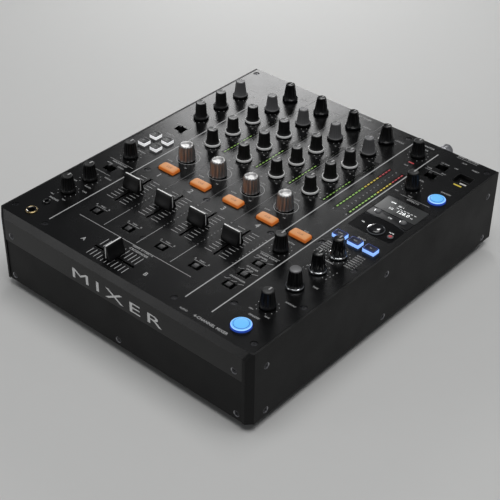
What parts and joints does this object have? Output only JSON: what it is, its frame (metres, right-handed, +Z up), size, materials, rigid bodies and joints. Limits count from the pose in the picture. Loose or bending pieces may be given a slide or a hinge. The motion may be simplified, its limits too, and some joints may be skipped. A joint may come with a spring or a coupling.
{
  "type": "dj mixer",
  "caption": "Flat desktop audio mixer with rotary controls, vertical channel faders, a crossfader, lit push buttons, level meters and a display on top, sockets on its back.",
  "frame": {"origin": "on the surface that the mixer stands on, under the middle of its overall box", "axes": "+X to the right of the person playing it, +Y towards the rear sockets, +Z up"},
  "size_m": [0.32, 0.3878, 0.108],
  "materials": {
    "panel_paint": "satin",
    "case_paint": "satin",
    "rubber": "matte",
    "screw_steel": "satin",
    "smoked_window": "gloss",
    "board_laminate": "satin",
    "bare_steel": "brushed",
    "module_metal": "satin",
    "socket_metal": "polished",
    "amber_lens": "gloss",
    "blue_lens": "gloss",
    "white_lens": "gloss",
    "silver_knob": "satin",
    "grey_knob": "matte",
    "black_knob": "matte",
    "black_plastic": "matte"
  },
  "bodies": {
    "chassis": {"control_panel": "panel_paint", "front_panel": "case_paint", "side_panels": "case_paint", "rear_panel": "case_paint", "bottom_tray": "case_paint", "feet": "rubber", "case_screws": "screw_steel", "windows": "smoked_window", "circuit_boards": "board_laminate", "power_supply": "bare_steel", "pots_and_switches": "module_metal", "sockets": "socket_metal"},
    "beat_effect_buttons": {"beat_effect_buttons": "blue_lens"},
    "booth_level_knob": {"booth_level_knob": "black_knob"},
    "channel_1_colour_knob": {"channel_1_colour_knob": "silver_knob"},
    "channel_1_fader": {"channel_1_fader": "black_plastic"},
    "channel_1_hi_knob": {"channel_1_hi_knob": "black_knob"},
    "channel_1_low_knob": {"channel_1_low_knob": "black_knob"},
    "channel_1_mid_knob": {"channel_1_mid_knob": "black_knob"},
    "channel_1_selector_knob": {"channel_1_selector_knob": "black_knob"},
    "channel_1_trim_knob": {"channel_1_trim_knob": "grey_knob"},
    "channel_2_colour_knob": {"channel_2_colour_knob": "silver_knob"},
    "channel_2_fader": {"channel_2_fader": "black_plastic"},
    "channel_2_hi_knob": {"channel_2_hi_knob": "black_knob"},
    "channel_2_low_knob": {"channel_2_low_knob": "black_knob"},
    "channel_2_mid_knob": {"channel_2_mid_knob": "black_knob"},
    "channel_2_selector_knob": {"channel_2_selector_knob": "black_knob"},
    "channel_2_trim_knob": {"channel_2_trim_knob": "grey_knob"},
    "channel_3_colour_knob": {"channel_3_colour_knob": "silver_knob"},
    "channel_3_fader": {"channel_3_fader": "black_plastic"},
    "channel_3_hi_knob": {"channel_3_hi_knob": "black_knob"},
    "channel_3_low_knob": {"channel_3_low_knob": "black_knob"},
    "channel_3_mid_knob": {"channel_3_mid_knob": "black_knob"},
    "channel_3_selector_knob": {"channel_3_selector_knob": "black_knob"},
    "channel_3_trim_knob": {"channel_3_trim_knob": "grey_knob"},
    "channel_4_colour_knob": {"channel_4_colour_knob": "silver_knob"},
    "channel_4_fader": {"channel_4_fader": "black_plastic"},
    "channel_4_hi_knob": {"channel_4_hi_knob": "black_knob"},
    "channel_4_low_knob": {"channel_4_low_knob": "black_knob"},
    "channel_4_mid_knob": {"channel_4_mid_knob": "black_knob"},
    "channel_4_selector_knob": {"channel_4_selector_knob": "black_knob"},
    "channel_4_trim_knob": {"channel_4_trim_knob": "grey_knob"},
    "colour_effect_buttons": {"colour_effect_buttons": "white_lens"},
    "colour_parameter_knob": {"colour_parameter_knob": "black_knob"},
    "crossfader": {"crossfader": "black_plastic"},
    "cue_buttons": {"cue_buttons": "amber_lens"},
    "display_buttons": {"display_buttons": "black_plastic"},
    "effect_channel_knob": {"effect_channel_knob": "black_knob"},
    "effect_level_knob": {"effect_level_knob": "black_knob"},
    "effect_select_knob": {"effect_select_knob": "black_knob"},
    "effect_time_knob": {"effect_time_knob": "black_knob"},
    "master_level_knob": {"master_level_knob": "black_knob"},
    "mic_hi_knob": {"mic_hi_knob": "black_knob"},
    "mic_level_knob": {"mic_level_knob": "grey_knob"},
    "mic_low_knob": {"mic_low_knob": "black_knob"},
    "phones_level_knob": {"phones_level_knob": "black_knob"},
    "phones_mixing_knob": {"phones_mixing_knob": "black_knob"},
    "power_button": {"power_button": "black_plastic"},
    "send_level_knob": {"send_level_knob": "black_knob"},
    "slide_switches": {"slide_switches": "black_plastic"}
  },
  "joints": [
    {"name": "beat_effect_buttons_press", "type": "slide", "parent": "chassis", "child": "beat_effect_buttons", "axis": [0, 0, -1], "range_m": [0, 0.001], "stiffness_N_per_m": 500, "springref_m": -0.002},
    {"name": "booth_level_turn", "type": "hinge", "parent": "chassis", "child": "booth_level_knob", "pos_m": [0.082, -0.06345, 0.088], "axis": [0, 0, -1], "range_deg": [-150, 150]},
    {"name": "channel_1_colour_turn", "type": "hinge", "parent": "chassis", "child": "channel_1_colour_knob", "pos_m": [-0.0863, -0.00995, 0.088], "axis": [0, 0, -1], "range_deg": [-150, 150]},
    {"name": "channel_1_fader_slide", "type": "slide", "parent": "chassis", "child": "channel_1_fader", "axis": [0, 1, 0], "range_m": [-0.0225, 0.0225]},
    {"name": "channel_1_hi_turn", "type": "hinge", "parent": "chassis", "child": "channel_1_hi_knob", "pos_m": [-0.0863, 0.09055, 0.088], "axis": [0, 0, -1], "range_deg": [-150, 150]},
    {"name": "channel_1_low_turn", "type": "hinge", "parent": "chassis", "child": "channel_1_low_knob", "pos_m": [-0.0863, 0.02815, 0.088], "axis": [0, 0, -1], "range_deg": [-150, 150]},
    {"name": "channel_1_mid_turn", "type": "hinge", "parent": "chassis", "child": "channel_1_mid_knob", "pos_m": [-0.0863, 0.05935, 0.088], "axis": [0, 0, -1], "range_deg": [-150, 150]},
    {"name": "channel_1_selector_turn", "type": "hinge", "parent": "chassis", "child": "channel_1_selector_knob", "pos_m": [-0.0863, 0.15205, 0.088], "axis": [0, 0, -1], "range_deg": [-75, 75]},
    {"name": "channel_1_trim_turn", "type": "hinge", "parent": "chassis", "child": "channel_1_trim_knob", "pos_m": [-0.0863, 0.12185, 0.088], "axis": [0, 0, -1], "range_deg": [-150, 150]},
    {"name": "channel_2_colour_turn", "type": "hinge", "parent": "chassis", "child": "channel_2_colour_knob", "pos_m": [-0.0435, -0.00995, 0.088], "axis": [0, 0, -1], "range_deg": [-150, 150]},
    {"name": "channel_2_fader_slide", "type": "slide", "parent": "chassis", "child": "channel_2_fader", "axis": [0, 1, 0], "range_m": [-0.0225, 0.0225]},
    {"name": "channel_2_hi_turn", "type": "hinge", "parent": "chassis", "child": "channel_2_hi_knob", "pos_m": [-0.0435, 0.09055, 0.088], "axis": [0, 0, -1], "range_deg": [-150, 150]},
    {"name": "channel_2_low_turn", "type": "hinge", "parent": "chassis", "child": "channel_2_low_knob", "pos_m": [-0.0435, 0.02815, 0.088], "axis": [0, 0, -1], "range_deg": [-150, 150]},
    {"name": "channel_2_mid_turn", "type": "hinge", "parent": "chassis", "child": "channel_2_mid_knob", "pos_m": [-0.0435, 0.05935, 0.088], "axis": [0, 0, -1], "range_deg": [-150, 150]},
    {"name": "channel_2_selector_turn", "type": "hinge", "parent": "chassis", "child": "channel_2_selector_knob", "pos_m": [-0.0435, 0.15205, 0.088], "axis": [0, 0, -1], "range_deg": [-75, 75]},
    {"name": "channel_2_trim_turn", "type": "hinge", "parent": "chassis", "child": "channel_2_trim_knob", "pos_m": [-0.0435, 0.12185, 0.088], "axis": [0, 0, -1], "range_deg": [-150, 150]},
    {"name": "channel_3_colour_turn", "type": "hinge", "parent": "chassis", "child": "channel_3_colour_knob", "pos_m": [-0.0007, -0.00995, 0.088], "axis": [0, 0, -1], "range_deg": [-150, 150]},
    {"name": "channel_3_fader_slide", "type": "slide", "parent": "chassis", "child": "channel_3_fader", "axis": [0, 1, 0], "range_m": [-0.0225, 0.0225]},
    {"name": "channel_3_hi_turn", "type": "hinge", "parent": "chassis", "child": "channel_3_hi_knob", "pos_m": [-0.0007, 0.09055, 0.088], "axis": [0, 0, -1], "range_deg": [-150, 150]},
    {"name": "channel_3_low_turn", "type": "hinge", "parent": "chassis", "child": "channel_3_low_knob", "pos_m": [-0.0007, 0.02815, 0.088], "axis": [0, 0, -1], "range_deg": [-150, 150]},
    {"name": "channel_3_mid_turn", "type": "hinge", "parent": "chassis", "child": "channel_3_mid_knob", "pos_m": [-0.0007, 0.05935, 0.088], "axis": [0, 0, -1], "range_deg": [-150, 150]},
    {"name": "channel_3_selector_turn", "type": "hinge", "parent": "chassis", "child": "channel_3_selector_knob", "pos_m": [-0.0007, 0.15205, 0.088], "axis": [0, 0, -1], "range_deg": [-75, 75]},
    {"name": "channel_3_trim_turn", "type": "hinge", "parent": "chassis", "child": "channel_3_trim_knob", "pos_m": [-0.0007, 0.12185, 0.088], "axis": [0, 0, -1], "range_deg": [-150, 150]},
    {"name": "channel_4_colour_turn", "type": "hinge", "parent": "chassis", "child": "channel_4_colour_knob", "pos_m": [0.0421, -0.00995, 0.088], "axis": [0, 0, -1], "range_deg": [-150, 150]},
    {"name": "channel_4_fader_slide", "type": "slide", "parent": "chassis", "child": "channel_4_fader", "axis": [0, 1, 0], "range_m": [-0.0225, 0.0225]},
    {"name": "channel_4_hi_turn", "type": "hinge", "parent": "chassis", "child": "channel_4_hi_knob", "pos_m": [0.0421, 0.09055, 0.088], "axis": [0, 0, -1], "range_deg": [-150, 150]},
    {"name": "channel_4_low_turn", "type": "hinge", "parent": "chassis", "child": "channel_4_low_knob", "pos_m": [0.0421, 0.02815, 0.088], "axis": [0, 0, -1], "range_deg": [-150, 150]},
    {"name": "channel_4_mid_turn", "type": "hinge", "parent": "chassis", "child": "channel_4_mid_knob", "pos_m": [0.0421, 0.05935, 0.088], "axis": [0, 0, -1], "range_deg": [-150, 150]},
    {"name": "channel_4_selector_turn", "type": "hinge", "parent": "chassis", "child": "channel_4_selector_knob", "pos_m": [0.0421, 0.15205, 0.088], "axis": [0, 0, -1], "range_deg": [-75, 75]},
    {"name": "channel_4_trim_turn", "type": "hinge", "parent": "chassis", "child": "channel_4_trim_knob", "pos_m": [0.0421, 0.12185, 0.088], "axis": [0, 0, -1], "range_deg": [-150, 150]},
    {"name": "colour_effect_buttons_press", "type": "slide", "parent": "chassis", "child": "colour_effect_buttons", "axis": [0, 0, -1], "range_m": [0, 0.001], "stiffness_N_per_m": 500, "springref_m": -0.002},
    {"name": "colour_parameter_turn", "type": "hinge", "parent": "chassis", "child": "colour_parameter_knob", "pos_m": [-0.1315, -0.04445, 0.088], "axis": [0, 0, -1], "range_deg": [-150, 150]},
    {"name": "crossfader_slide", "type": "slide", "parent": "chassis", "child": "crossfader", "axis": [1, 0, 0], "range_m": [-0.0225, 0.0225]},
    {"name": "cue_buttons_press", "type": "slide", "parent": "chassis", "child": "cue_buttons", "axis": [0, 0, -1], "range_m": [0, 0.001], "stiffness_N_per_m": 500, "springref_m": -0.002},
    {"name": "display_buttons_press", "type": "slide", "parent": "chassis", "child": "display_buttons", "axis": [0, 0, -1], "range_m": [0, 0.001], "stiffness_N_per_m": 500, "springref_m": -0.002},
    {"name": "effect_channel_turn", "type": "hinge", "parent": "chassis", "child": "effect_channel_knob", "pos_m": [0.127, -0.06545, 0.088], "axis": [0, 0, -1], "range_deg": [-120, 120]},
    {"name": "effect_level_turn", "type": "hinge", "parent": "chassis", "child": "effect_level_knob", "pos_m": [0.127, -0.13395, 0.088], "axis": [0, 0, -1], "range_deg": [-150, 150]},
    {"name": "effect_select_turn", "type": "hinge", "parent": "chassis", "child": "effect_select_knob", "pos_m": [0.127, -0.03645, 0.088], "axis": [0, 0, -1], "range_deg": [-165, 165]},
    {"name": "effect_time_turn", "type": "hinge", "parent": "chassis", "child": "effect_time_knob", "pos_m": [0.127, -0.09745, 0.088], "axis": [0, 0, -1], "continuous": true},
    {"name": "master_level_turn", "type": "hinge", "parent": "chassis", "child": "master_level_knob", "pos_m": [0.082, 0.15205, 0.088], "axis": [0, 0, -1], "range_deg": [-150, 150]},
    {"name": "mic_hi_turn", "type": "hinge", "parent": "chassis", "child": "mic_hi_knob", "pos_m": [-0.1315, 0.09055, 0.088], "axis": [0, 0, -1], "range_deg": [-150, 150]},
    {"name": "mic_level_turn", "type": "hinge", "parent": "chassis", "child": "mic_level_knob", "pos_m": [-0.1315, 0.12185, 0.088], "axis": [0, 0, -1], "range_deg": [-150, 150]},
    {"name": "mic_low_turn", "type": "hinge", "parent": "chassis", "child": "mic_low_knob", "pos_m": [-0.1315, 0.05935, 0.088], "axis": [0, 0, -1], "range_deg": [-150, 150]},
    {"name": "phones_level_turn", "type": "hinge", "parent": "chassis", "child": "phones_level_knob", "pos_m": [-0.1315, -0.12845, 0.088], "axis": [0, 0, -1], "range_deg": [-150, 150]},
    {"name": "phones_mixing_turn", "type": "hinge", "parent": "chassis", "child": "phones_mixing_knob", "pos_m": [-0.1315, -0.09995, 0.088], "axis": [0, 0, -1], "range_deg": [-150, 150]},
    {"name": "power_button_press", "type": "slide", "parent": "chassis", "child": "power_button", "axis": [0, -1, 0], "range_m": [0, 0.002], "stiffness_N_per_m": 500, "springref_m": -0.002},
    {"name": "send_level_turn", "type": "hinge", "parent": "chassis", "child": "send_level_knob", "pos_m": [0.1115, 0.10055, 0.088], "axis": [0, 0, -1], "range_deg": [-150, 150]},
    {"name": "slide_switches_slide", "type": "slide", "parent": "chassis", "child": "slide_switches", "axis": [1, 0, 0], "range_m": [-0.002, 0.002]}
  ]
}
